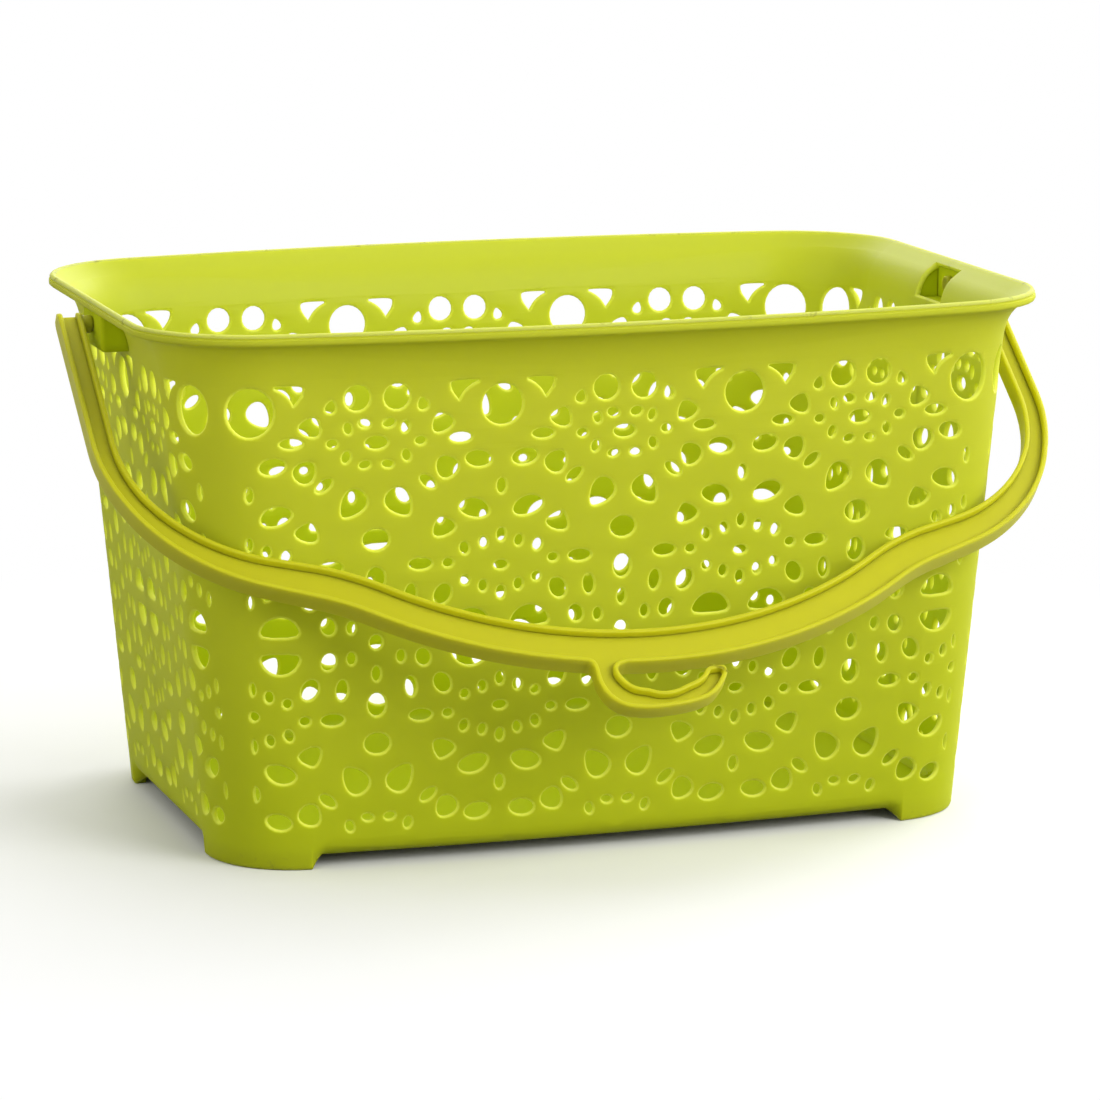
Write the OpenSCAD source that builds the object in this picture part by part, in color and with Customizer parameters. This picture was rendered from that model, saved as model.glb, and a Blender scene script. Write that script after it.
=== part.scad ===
// Lace-pattern carry basket with a swinging bail handle.
// Millimetres. Z is up, X runs along the length, -Y is the front. The feet stand on Z = 0.

/* [Basket] */
// Length over the rim
rim_l = 260; // [200:1:340]
// Width over the rim
rim_w = 177; // [140:1:240]
// Height from the feet to the top of the rim
basket_h = 149; // [120:1:200]
// Corner radius of the rim
rim_r = 34; // [26:1:44]
// Draft of the end walls, in degrees
draft_x = 4.9; // [3:0.1:7]
// Draft of the long walls, in degrees
draft_y = 3.15; // [2:0.05:5]
// Corner radius at the feet
base_r = 25.5; // [18:0.5:34]
// Bow of the long sides at the feet, from the middle to the ends
base_bow = 4.5; // [1:0.5:8]
// Bow of the long sides at the rim, from the middle to the ends
rim_bow = 12; // [6:0.5:16]
// Wall and floor thickness
wall = 1.8; // [1.2:0.1:3]
// Overhang of the rim past the straight wall, on the ends
flare_x = 8; // [5:0.5:12]
// Overhang of the rim past the straight wall, on the long sides
flare_y = 9.5; // [6:0.5:14]
// Height of the curved flare under the lip
flare_h = 17; // [12:0.5:24]
// Height of the lip's edge
lip_h = 3.2; // [2.4:0.1:5]
// Width of the lip's flat top
lip_t = 1.4; // [1:0.1:2.5]

/* [Feet] */
// Height of the feet under the floor
foot_h = 3.2; // [2:0.1:8]
// Thickness of the feet
foot_t = 3.6; // [2.4:0.1:6]
// Reach of each foot along the long side, from the end of the basket
foot_x = 23.5; // [16:0.5:40]
// Reach of each foot along the end, from the side of the basket
foot_y = 29; // [16:0.5:36]

/* [Lace] */
// Distance from each end of a wall to the outermost axis of the pattern
lace_margin = 16.9; // [12:0.1:22]
// Clear height under the lowest holes
lace_low = 10; // [8:0.5:16]
// Smallest hole that is cut, as width times height
lace_least = 24; // [12:1:40]
// Diameter of the large round holes
lace_round = 11.4; // [9:0.1:13]
// Diameter of the large round holes beside the corners
lace_corner = 13.6; // [10:0.1:15]

/* [Pivots] */
// Height of the pivot axis under the top of the rim
pivot_drop = 7; // [6.4:0.1:9]
// Diameter of the pivot pins
pin_d = 4; // [3:0.1:5]
// Running clearance around the pins, on the radius
pin_gap = 0.08; // [0.05:0.01:0.1]
// Clear width of the niche that each pin snaps into
niche_w = 16; // [12:0.5:22]
// Clear height of the niche under the pivot axis
niche_drop = 4.8; // [4:0.1:6]
// Distance from the edge of the rim in to the niche's outer face
niche_in = 1; // [0.6:0.1:1.6]
// Diameter of the snap head on each pin
head_d = 4.8; // [4.2:0.1:6]
// Length of the snap head
head_l = 1.6; // [1:0.1:2.5]
// Diameter of the collar between the pin and the arm
collar_d = 5; // [4.8:0.1:5.6]
// End play between the handle and the basket
play = 0.3; // [0.2:0.05:0.5]

/* [Handle] */
// Width of the grip's strip, in the handle's own plane
strip_w = 11.4; // [9:0.2:13]
// Width of the arms' strip
arm_w = 6.8; // [6:0.1:8]
// Thickness of the strip
strip_t = 5.7; // [5:0.1:7]
// Width of the raised border along the strip
border_w = 1.4; // [1.2:0.1:2]
// Depth of the channel between the borders
channel_d = 2.1; // [1:0.1:2.2]
// Gap between the rim's end and the handle's arm
arm_gap = 1.9; // [1:0.1:3]
// Height of the arms' ends above the pivots
arm_end = 3.4; // [3:0.1:4.5]
// Depth of the notch between the borders at the arms' ends
arm_notch = 1.3; // [0.8:0.1:2]
// Radius of the bend from the arm to the grip
bend_r = 53.4; // [48:0.2:62]
// Reach of the bend past the front of the feet, when the handle rests
bend_reach = 5.8; // [5.8:0.1:10]
// Angle of that bend
bend_a = 71; // [66:1:76]
// Share of the bend that is as narrow as the arm
bend_narrow = 0.33; // [0.1:0.01:0.6]
// Straight length beyond the bend
bend_flat = 12; // [6:1:20]
// Radius of the counter bend at the grip's end
counter_r = 66.6; // [40:0.2:90]
// Angle of the counter bend
counter_a = 15; // [10:1:20]
// Angle of the resting handle under the horizontal
rest_a = 37.5; // [30:0.5:37.5]

/* [Hook] */
// Width of the hook's strip
hook_w = 5.4; // [4:0.2:7]
// Place of the hook's stem, to the left of the middle
hook_x = 16.4; // [10:0.2:24]
// Drop of the stem from the middle of the grip's strip to the first bend
hook_stem = 11.6; // [8:0.2:14]
// Radius of the hook's first bend
hook_r = 8.5; // [6:0.5:12]
// Radius of the hook's long back
hook_back_r = 35; // [25:1:50]
// Radius of the hook's tip bend
hook_tip_r = 13.3; // [8:0.1:16]
// Width of the raised border along the hook
hook_border = 1.3; // [0.8:0.1:1.8]
// Lean of the stem towards the middle, in degrees
hook_lean = 9; // [4:1:14]
// Turn of the first bend, in degrees
hook_turn = 79; // [72:1:84]
// Turn of the long back, in degrees
hook_back_a = 24; // [18:1:28]
// Turn of the tip bend, in degrees
hook_tip_a = 40; // [30:1:46]

/* [Hidden] */

lime = [0.72, 0.78, 0.16];
olive_lime = [0.70, 0.72, 0.20];
pivot_z = basket_h - pivot_drop;
lip_z = basket_h - lip_h;
flare_z = lip_z - flare_h;
neck_l = rim_l - 2 * flare_x;
neck_w = rim_w - 2 * flare_y;
base_l = neck_l - 2 * lip_z * tan(draft_x);
base_w = neck_w - 2 * lip_z * tan(draft_y);
floor_top = foot_h + wall;
side_steps = 5;
corner_steps = 8;
flare_steps = 6;
neck_more_r = 1.5;
overcut = 5;
neck_bow = (base_bow + rim_bow) / 2 - 1;

// Outline of the basket at a height: [half length, half width, corner radius, bow radius].
function bow_radius(half_l, bow) = half_l * half_l / (2 * bow);
function base_outline() =
    [base_l / 2, base_w / 2, base_r, bow_radius(base_l / 2, base_bow)];
function rim_outline() =
    [rim_l / 2, rim_w / 2, rim_r, bow_radius(rim_l / 2, rim_bow)];
function neck_outline() =
    [neck_l / 2, neck_w / 2, base_r + neck_more_r, bow_radius(neck_l / 2, neck_bow)];
function mix(a, b, t) = a + (b - a) * t;
function wall_outline(z) = mix(base_outline(), neck_outline(), z / lip_z);
function shrink(o, d) = [o[0] - d, o[1] - d, max(o[2] - d, 1), o[3] - d];

// Corner circle of an outline: centre, and the angle where it meets the bowed side.
function corner_x(o) = o[0] - o[2];
function corner_y(o) = o[1] - o[3] + sqrt(pow(o[3] - o[2], 2) - pow(corner_x(o), 2));
function corner_start(o) = atan2(corner_x(o), corner_y(o) - o[1] + o[3]);

// First quarter of an outline, from the middle of the long side to the middle of the end.
function quarter(o) =
    let (start = corner_start(o), cx = corner_x(o), cy = corner_y(o))
    concat(
        [for (i = [0 : side_steps - 1])
            let (t = start * i / side_steps)
            [o[3] * sin(t), o[1] - o[3] + o[3] * cos(t)]],
        [for (i = [0 : corner_steps])
            let (t = mix(start, 90, i / corner_steps))
            [cx + o[2] * sin(t), cy + o[2] * cos(t)]]);
function reversed(list) = [for (i = [len(list) - 1 : -1 : 0]) list[i]];
function ring(o) =
    let (q = quarter(o), n = len(q))
    concat(
        [for (i = [0 : n - 1]) [q[i][0], q[i][1]]],
        [for (i = [n - 1 : -1 : 1]) [q[i][0], -q[i][1]]],
        [for (i = [0 : n - 1]) [-q[i][0], -q[i][1]]],
        [for (i = [n - 1 : -1 : 1]) [-q[i][0], q[i][1]]]);
function ring_at(o, z) = [for (p = ring(o)) [p[0], p[1], z]];

// Flare: a quarter ellipse from the straight wall out to the lip, at angle t.
function flare_share(t) = 1 - cos(t);
function flare_outer(t) =
    mix(wall_outline(flare_z + flare_h * sin(t)), rim_outline(), flare_share(t));
function flare_slope(t) = atan2(flare_x * sin(t), flare_h * cos(t));
function flare_inner(t) = shrink(flare_outer(t), wall * cos(flare_slope(t)));
function flare_inner_z(t) = flare_z + flare_h * sin(t) + wall * sin(flare_slope(t));

// Rings of the outside up to the top of the rim, and of the hollow from the floor up past it.
flare_angles = [for (i = [0 : flare_steps]) 90 * i / flare_steps];
hollow_angles = [for (i = [0 : flare_steps - 2]) 90 * i / flare_steps];
function outside() =
    concat(
        [ring_at(base_outline(), 0)],
        [for (t = flare_angles) ring_at(flare_outer(t), flare_z + flare_h * sin(t))],
        [ring_at(rim_outline(), basket_h)]);
function hollow() =
    let (top = shrink(rim_outline(), lip_t))
    concat(
        [ring_at(shrink(wall_outline(floor_top), wall), floor_top)],
        [for (t = hollow_angles) ring_at(flare_inner(t), flare_inner_z(t))],
        [ring_at(top, basket_h), ring_at(top, basket_h + 1)]);

// A solid from a stack of rings.
module stacked(rings) {
    n = len(rings[0]);
    last = len(rings) - 1;
    points = [for (r = rings) each r];
    sides = [for (k = [0 : last - 1], i = [0 : n - 1])
        let (j = (i + 1) % n)
        each [[k * n + i, k * n + j, (k + 1) * n + j],
              [k * n + i, (k + 1) * n + j, (k + 1) * n + i]]];
    bottom = [[for (i = [n - 1 : -1 : 0]) i]];
    top = [[for (i = [0 : n - 1]) last * n + i]];
    polyhedron(points, concat(sides, bottom, top));
}

// Underside: a recess inside the feet, and the gaps between them with sloped ends.
module underside() {
    translate([0, 0, -1])
        linear_extrude(foot_h + 1)
            polygon(ring(shrink(base_outline(), foot_t)));
    for (turn = [0, 180])
        rotate([90, 0, turn]) foot_gap(base_l - 2 * foot_x, base_w / 2 + overcut);
    for (turn = [90, 270])
        rotate([90, 0, turn]) foot_gap(base_w - 2 * foot_y, base_l / 2 + overcut);
}

module foot_gap(gap, reach) {
    top = gap / 2 - foot_h;
    translate([0, 0, reach / 2])
        linear_extrude(reach / 2)
            polygon([[-gap / 2 - 1, -1], [gap / 2 + 1, -1], [top, foot_h], [-top, foot_h]]);
}

// Niches for the pins, hung under the flare at both ends and open to the inside.
niche_out = rim_l / 2 - niche_in;
niche_floor = pivot_z - niche_drop;
niche_deep = flare_x + wall + overcut;
module niche_box() {
    translate([niche_out - niche_deep, -niche_w / 2 - wall, niche_floor - wall])
        cube([niche_deep, niche_w + 2 * wall, lip_z + 1 - niche_floor + wall]);
}
module niche_hollow() {
    translate([niche_out - wall - niche_deep, -niche_w / 2, niche_floor])
        cube([niche_deep, niche_w, basket_h]);
}
module pin_bore() {
    translate([niche_out - wall - 1, 0, pivot_z])
        rotate([0, 90, 0]) cylinder(r = pin_d / 2 + pin_gap, h = wall + 2, $fn = 48);
}
module both_ends() {
    children();
    mirror([1, 0, 0]) children();
}

// Lace holes of one half repeat above the mirror line, from the axis of the upper flowers.
// Each is [across, height, width, height of the hole, tilt, taper to its point], drawn for a
// repeat of drawn_p and a wall of drawn_h, and stretched to fit the basket's own.
drawn_p = 68.9;
drawn_h = 128.8;
oval_holes = [
    [5.4, 130.2, 7.5, 7.5, 0, 0],
    [12.5, 128, 3.1, 3.9, 15, 0.2],
    [17.8, 122.8, 6, 5.6, 25, 0.4],
    [0, 117.9, 6.6, 4, 0, 0],
    [3.3, 123.2, 3.8, 2.9, 10, 0],
    [7.8, 122, 2.6, 3.7, -15, 0],
    [12, 118, 3.4, 2.7, 0, 0],
    [8.2, 114.2, 2.7, 3.7, 15, 0],
    [3.1, 112, 3.6, 2.5, -10, 0],
    [23, 118.4, 6.6, 3.2, 0, 0],
    [28, 112.3, 7.6, 4.8, -8, 0],
    [19.2, 110.6, 6.2, 6.6, 40, 0.2],
    [14.1, 106.7, 5.6, 3.1, -38, 0],
    [6, 101.4, 6.4, 8.8, -142, 0.35],
    [27, 98.9, 8.8, 5.4, -15, 0],
    [18.4, 94.4, 6.2, 5.6, 25, 0.4],
    [0, 91.5, 7.6, 6.2, 0, 0],
    [12.2, 84.3, 6.8, 3.6, 0, 0],
    [0, 80.7, 5.3, 6.8, 0, 0],
    [24.3, 88, 2.9, 3.8, 15, 0],
    [29.5, 89.4, 2.7, 3.5, 10, 0],
    [19.8, 84.2, 3.3, 2.8, 0, 0],
    [24.5, 79.2, 2.9, 3, 0, 0],
    [29.5, 77.4, 2.8, 3.6, -10, 0],
    [18.3, 75.7, 4.8, 6.3, -30, 0],
    [9.5, 76.2, 3.5, 6, -5, 0],
    [0, 72.2, 2.8, 4.6, 0, 0],
    [13, 68.3, 4.3, 5.2, -20, 0],
    [6.8, 67.7, 2.8, 3.9, 0, 0]];
// Holes on the axis of the round holes, between the upper flowers.
axis_holes = [
    [104.6, 3, 4.6],
    [91.2, 2.8, 4],
    [82.9, 4.4, 2.9],
    [75.4, 2.8, 4]];
round_at = 126.9;
mid_at = 63.5;
arch_hole = [26.2, 65.6, 11.3, 6];
beak_hole = [[4.4, 2.2], [-3.9, 2.8], [-1.7, -3], [0, 0], [4.3, 1.4]];
beak_at = [24.3, 132.2];
cut_depth = 9;
long_repeats = 3;
end_repeats = 2;
rise = flare_z / drawn_h;
round_z = round_at * rise;
lace_p = (2 * wall_outline(round_z)[0] - 2 * lace_margin) / long_repeats;
lace_q = (2 * wall_outline(round_z)[1] - 2 * lace_margin) / end_repeats;
large_hole = 40;

// Points of a hole around its centre.
function oval(w, h, tilt, taper) =
    let (n = w * h > large_hole ? 8 : 6)
    [for (i = [0 : n - 1])
        let (t = 360 * (i + 0.5) / n,
             x = w / 2 * cos(t) * (1 - taper * sin(t)),
             y = h / 2 * sin(t))
        [x * cos(tilt) - y * sin(tilt), x * sin(tilt) + y * cos(tilt)]];
function arch(w, h) =
    concat([[-w / 2, 0.8], [-w / 2 + 0.8, 0], [w / 2 - 0.8, 0], [w / 2, 0.8]],
           [for (t = [35 : 36.7 : 146]) [w / 2 * cos(t), h * sin(t)]]);
function flip(points, across, up) = [for (p = points) [p[0] * across, p[1] * up]];

// A place on the wall: distance u along the outline from the middle of a side, at height z.
function on_long(u, z) =
    let (o = wall_outline(z), start = corner_start(o), side = o[3] * start * PI / 180,
         t = abs(u) <= side ? abs(u) / o[3] * 180 / PI
                            : start + (abs(u) - side) / o[2] * 180 / PI,
         p = abs(u) <= side ? [o[3] * sin(t), o[1] - o[3] + o[3] * cos(t)]
                            : [corner_x(o) + o[2] * sin(t), corner_y(o) + o[2] * cos(t)])
    [sign(u) * p[0], -p[1], sign(u) * t];
function on_end(u, z) =
    let (o = wall_outline(z), side = corner_y(o),
         t = abs(u) <= side ? 0 : (abs(u) - side) / o[2] * 180 / PI,
         p = abs(u) <= side ? [o[0], abs(u)]
                            : [corner_x(o) + o[2] * cos(t), side + o[2] * sin(t)])
    [p[0], sign(u) * p[1], 90 + sign(u) * t];
// The ends draw in towards the feet, so the pattern there narrows with them.
function end_share(z) =
    let (low = wall_outline(z), top = wall_outline(round_z))
    (corner_y(low) + low[2] * PI / 4) / (corner_y(top) + top[2] * PI / 4);

module cut_hole(long_side, u, z, points) {
    p = long_side ? on_long(u, z) : on_end(u * end_share(z), z);
    translate([p[0], p[1], z])
        rotate([90, 0, p[2]])
            translate([0, 0, -cut_depth / 2])
                linear_extrude(cut_depth) polygon(points);
}

// One hole above the mirror line and its image below it, where there is room.
module cut_pair(long_side, u, at, points, across) {
    cut_hole(long_side, u, at * rise, flip(points, across, rise));
    low = (2 * mid_at - at) * rise;
    half_h = max([for (p = points) abs(p[1])]) * rise;
    if (low - half_h > lace_low && at < round_at - lace_round)
        cut_hole(long_side, u, low, flip(points, across, -rise));
}

module lace_side(long_side) {
    pitch = long_side ? lace_p : lace_q;
    repeats = long_side ? long_repeats : end_repeats;
    squeeze = pitch / drawn_p;
    for (k = [0 : repeats - 1]) {
        axis = (k - (repeats - 1) / 2) * pitch;
        for (h = oval_holes)
            if (h[2] * h[3] >= lace_least)
                for (s = h[0] == 0 ? [1] : [-1, 1])
                    cut_pair(long_side, axis + s * h[0] * squeeze, h[1],
                             oval(h[2], h[3], h[4], h[5]), s * squeeze);
        for (s = [-1, 1]) {
            cut_pair(long_side, axis + s * arch_hole[0] * squeeze, arch_hole[1],
                     arch(arch_hole[2], arch_hole[3]), s * squeeze);
            cut_hole(long_side, axis + s * beak_at[0] * squeeze, beak_at[1] * rise,
                     flip(beak_hole, s * squeeze, rise));
        }
    }
    for (k = [0 : repeats]) {
        axis = (k - repeats / 2) * pitch;
        size = k == 0 || k == repeats ? lace_corner : lace_round;
        cut_hole(long_side, axis, round_z, flip(oval(size, size, 0, 0), squeeze, rise));
        for (h = axis_holes)
            if (h[1] * h[2] >= lace_least)
                cut_pair(long_side, axis, h[0], oval(h[1], h[2], 0, 0), squeeze);
    }
}

module lace() {
    for (turn = [0, 180])
        rotate(turn) {
            lace_side(true);
            lace_side(false);
        }
}

module basket() {
    color(lime)
        difference() {
            union() {
                stacked(outside());
                both_ends() niche_box();
            }
            stacked(hollow());
            underside();
            both_ends() niche_hollow();
            both_ends() pin_bore();
            lace();
        }
}

// Paths in the handle's plane: a walk from a point with a heading, along arcs and straights.
// Each leg is [radius, turn, steps], or [0, length, 1] for a straight, and each place on the
// path is [point, heading, distance walked].
function left(h) = [-sin(h), cos(h)];
function ahead(h) = [cos(h), sin(h)];
function leg_point(p, h, leg, share) =
    leg[0] == 0 ? p + ahead(h) * leg[1] * share
                : let (side = leg[0] * sign(leg[1]))
                  p + side * left(h) - side * left(h + leg[1] * share);
function leg_heading(h, leg, share) = leg[0] == 0 ? h : h + leg[1] * share;
function leg_length(leg) = leg[0] == 0 ? leg[1] : leg[0] * abs(leg[1]) * PI / 180;
function walk(p, h, far, legs, i = 0) =
    i == len(legs) ? []
    : let (leg = legs[i], long = leg_length(leg))
      concat([for (k = [1 : leg[2]])
                  [leg_point(p, h, leg, k / leg[2]), leg_heading(h, leg, k / leg[2]),
                   far + long * k / leg[2]]],
             walk(leg_point(p, h, leg, 1), leg_heading(h, leg, 1), far + long, legs, i + 1));
function beside(path, d) = [for (s = path) s[0] + d * left(s[1])];
function mirrored(points) = [for (p = points) [-p[0], p[1]]];

// Right half of the bail's middle line, from the pivot down the arm to the middle of the grip.
arm_x = rim_l / 2 + arm_gap + arm_w / 2;
arm_l = (base_w / 2 + bend_reach) / cos(rest_a) - bend_r * sin(bend_a);
bail_bend = [[0, arm_l, 1], [bend_r, -bend_a, 12], [0, bend_flat, 1], [counter_r, counter_a, 4]];
bail_turn = walk([arm_x, 0], -90, 0, bail_bend);
grip_start = bail_turn[len(bail_turn) - 1];
grip_r = grip_start[0][0] / cos(bend_a - counter_a);
grip_leg = [[grip_r, -(90 - bend_a + counter_a), 10]];
bail_half = concat(bail_turn, walk(grip_start[0], grip_start[1], grip_start[2], grip_leg));
grip_y = bail_half[len(bail_half) - 1][0][1];

// The strip widens from the arm's width to the grip's, from inside the bend to the counter bend.
widen_from = arm_l + leg_length(bail_bend[1]) * bend_narrow;
widen_to = arm_l + leg_length(bail_bend[1]) + bend_flat;
function strip_half(far) =
    mix(arm_w, strip_w, min(max((far - widen_from) / (widen_to - widen_from), 0), 1)) / 2;

// The strip, drawn in by an inset, from a height above the pivots where its end is eased.
module bail_strip(inset, top, ease) {
    end = strip_half(0) - inset;
    sides = concat([[[arm_x, top], -90, end - ease], [[arm_x, top - ease], -90, end]],
                   [for (s = bail_half) [s[0], s[1], strip_half(s[2]) - inset]]);
    inner = [for (s = sides) s[0] - s[2] * left(s[1])];
    outer = [for (s = sides) s[0] + s[2] * left(s[1])];
    n = len(sides);
    polygon(concat(inner, [for (i = [n - 2 : -1 : 0]) mirrored(inner)[i]],
                   mirrored(outer), [for (i = [n - 2 : -1 : 0]) outer[i]]));
}

// Hook for a line, hung from the grip's strip left of the middle.
hook_start = [-hook_x, grip_y];
hook_legs = [[0, hook_stem, 1], [hook_r, hook_turn, 8], [hook_back_r, hook_back_a, 4],
             [hook_tip_r, hook_tip_a, 4]];
hook_path = concat([[hook_start, -90 + hook_lean, 0]],
                   walk(hook_start, -90 + hook_lean, 0, hook_legs));
module hook_strip(half) {
    polygon(concat(beside(hook_path, half), reversed(beside(hook_path, -half))));
}

module plate(t) {
    translate([0, 0, -t / 2]) linear_extrude(t) children();
}
module both_faces(depth) {
    for (side = [1, -1])
        translate([0, 0, side * (strip_t - depth / 2)]) plate(strip_t) children();
}

// Each pin springs from the arm's inner border, behind a collar that keeps the arm off the rim.
module pin_and_head() {
    pin_from = niche_out - wall - play - head_l;
    collar_from = niche_out + play;
    arm_from = arm_x - arm_w / 2 + border_w / 2;
    translate([pin_from, 0, 0])
        rotate([0, 90, 0]) cylinder(d = pin_d, h = arm_from - pin_from, $fn = 48);
    translate([pin_from, 0, 0])
        rotate([0, 90, 0]) cylinder(d = head_d, h = head_l, $fn = 48);
    translate([collar_from, 0, 0])
        rotate([0, 90, 0]) cylinder(d = collar_d, h = arm_from - collar_from, $fn = 48);
}

// The web stops short of the borders at the arms' ends.
module end_notch() {
    translate([arm_x, arm_end, 0])
        cube([arm_w - 2 * border_w, 2 * arm_notch, strip_t + 1], center = true);
}

module bail_handle() {
    color(olive_lime)
        translate([0, 0, pivot_z]) rotate([rest_a, 0, 0]) {
            difference() {
                union() {
                    plate(strip_t) bail_strip(0, arm_end, border_w / 2);
                    plate(strip_t) hook_strip(hook_w / 2);
                }
                both_faces(channel_d) {
                    bail_strip(border_w, arm_end + 1, 0);
                    hook_strip(hook_w / 2 - hook_border);
                }
                both_ends() end_notch();
            }
            both_ends() pin_and_head();
        }
}

basket();
bail_handle();
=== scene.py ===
import math
import bpy
import bmesh
from mathutils import Matrix, Vector


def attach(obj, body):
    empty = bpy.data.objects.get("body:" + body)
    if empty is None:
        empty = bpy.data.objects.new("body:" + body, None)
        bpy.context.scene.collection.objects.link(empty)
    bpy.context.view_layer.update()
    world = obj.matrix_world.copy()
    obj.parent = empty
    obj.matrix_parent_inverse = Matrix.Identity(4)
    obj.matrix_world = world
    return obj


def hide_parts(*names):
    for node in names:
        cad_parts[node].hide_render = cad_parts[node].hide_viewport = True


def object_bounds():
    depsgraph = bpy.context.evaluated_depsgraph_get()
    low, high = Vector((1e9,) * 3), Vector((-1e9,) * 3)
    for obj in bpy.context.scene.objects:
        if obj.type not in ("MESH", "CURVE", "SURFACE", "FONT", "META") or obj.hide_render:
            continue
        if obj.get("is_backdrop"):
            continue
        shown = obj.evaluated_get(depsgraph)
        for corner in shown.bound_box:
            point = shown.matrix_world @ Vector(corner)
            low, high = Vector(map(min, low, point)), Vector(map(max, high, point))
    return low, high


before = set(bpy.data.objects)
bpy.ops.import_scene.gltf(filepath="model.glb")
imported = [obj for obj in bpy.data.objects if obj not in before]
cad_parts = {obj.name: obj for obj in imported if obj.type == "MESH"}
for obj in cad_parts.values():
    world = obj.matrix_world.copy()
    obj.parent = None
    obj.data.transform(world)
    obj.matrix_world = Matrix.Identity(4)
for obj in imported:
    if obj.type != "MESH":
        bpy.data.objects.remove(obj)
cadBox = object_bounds()
mm = 0.001

# basket, in millimetres: the shell's own sizes, and how finely its flat plate is sliced before it is bent
shell = {
    "rimL": 260.0, "rimW": 177.0, "rimR": 34.0, "rimBow": 12.0, "height": 149.0,
    "flareX": 8.0, "flareY": 9.5, "flareH": 17.0, "flareTight": 0.8,
    "lipH": 3.2, "lipT": 1.5, "lipRound": 0.9, "lipCrown": 0.6,
    "lipGroove": 0.3, "grooveAt": 1.15, "grooveW": 0.35,
    "draftX": 4.9, "draftY": 3.15, "baseR": 25.5, "neckMoreR": 1.5, "baseBow": 4.5, "neckLessBow": 1.0,
    "wall": 1.8, "bottomR": 5.0,
    "footH": 3.2, "footX": 23.5, "footY": 29.0, "footT": 3.6, "footEase": 3.6,
    "cornerFrom": 84.0, "cornerTo": 42.0,  # the corner's fine slices, from the front's and the end's middle
    "cornerSlice": 4.2, "sideSlice": 17.0, "flareSlice": 2.4, "bottomSlice": 1.9, "waistCut": 68.0,
    "lipCuts": [0.0, 0.5, 1.0], "bandCuts": [0.0, 0.8, 0.95, 1.15, 1.35, 1.5],
}
lipZ = shell["height"] - shell["lipH"]
flareZ = lipZ - shell["flareH"]
neckL = shell["rimL"] - 2 * shell["flareX"]
neckW = shell["rimW"] - 2 * shell["flareY"]
baseL = neckL - 2 * lipZ * math.tan(math.radians(shell["draftX"]))
baseW = neckW - 2 * lipZ * math.tan(math.radians(shell["draftY"]))
neckBow = (shell["baseBow"] + shell["rimBow"]) / 2 - shell["neckLessBow"]


def mix(a, b, t):
    return a + (b - a) * t


def outlineOf(length, width, corner, bow):  # half length, half width, corner radius, bow radius
    return (length / 2, width / 2, corner, (length / 2) ** 2 / (2 * bow))


baseOutline = outlineOf(baseL, baseW, shell["baseR"], shell["baseBow"])
neckOutline = outlineOf(neckL, neckW, shell["baseR"] + shell["neckMoreR"], neckBow)
rimOutline = outlineOf(shell["rimL"], shell["rimW"], shell["rimR"], shell["rimBow"])


def wallOutline(z):
    return tuple(mix(b, n, z / lipZ) for b, n in zip(baseOutline, neckOutline))


def stretches(o):  # of a quarter: the corner's centre and start angle, the side's and the corner's length
    a, b, r, q = o
    cx = a - r
    root = math.sqrt((q - r) ** 2 - cx ** 2)
    start = math.atan2(cx, root)
    return cx, b - q + root, start, q * start, r * (math.pi / 2 - start)


def pointOn(o, s):  # place and outward way at distance s from the front's middle towards the end's middle
    a, b, r, q = o
    cx, cy, start, side, corner = stretches(o)
    if s <= side:
        t = s / q
        way = Vector((math.sin(t), -math.cos(t)))
        return Vector((q * math.sin(t), -(b - q + q * math.cos(t)))), way
    if s <= side + corner:
        t = start + (s - side) / r
        way = Vector((math.sin(t), -math.cos(t)))
        return Vector((cx + r * math.sin(t), -(cy + r * math.cos(t)))), way
    return Vector((a, -(cy - (s - side - corner)))), Vector((1.0, 0.0))


def quarterLength(o):
    cx, cy, start, side, corner = stretches(o)
    return side + corner + cy


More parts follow.
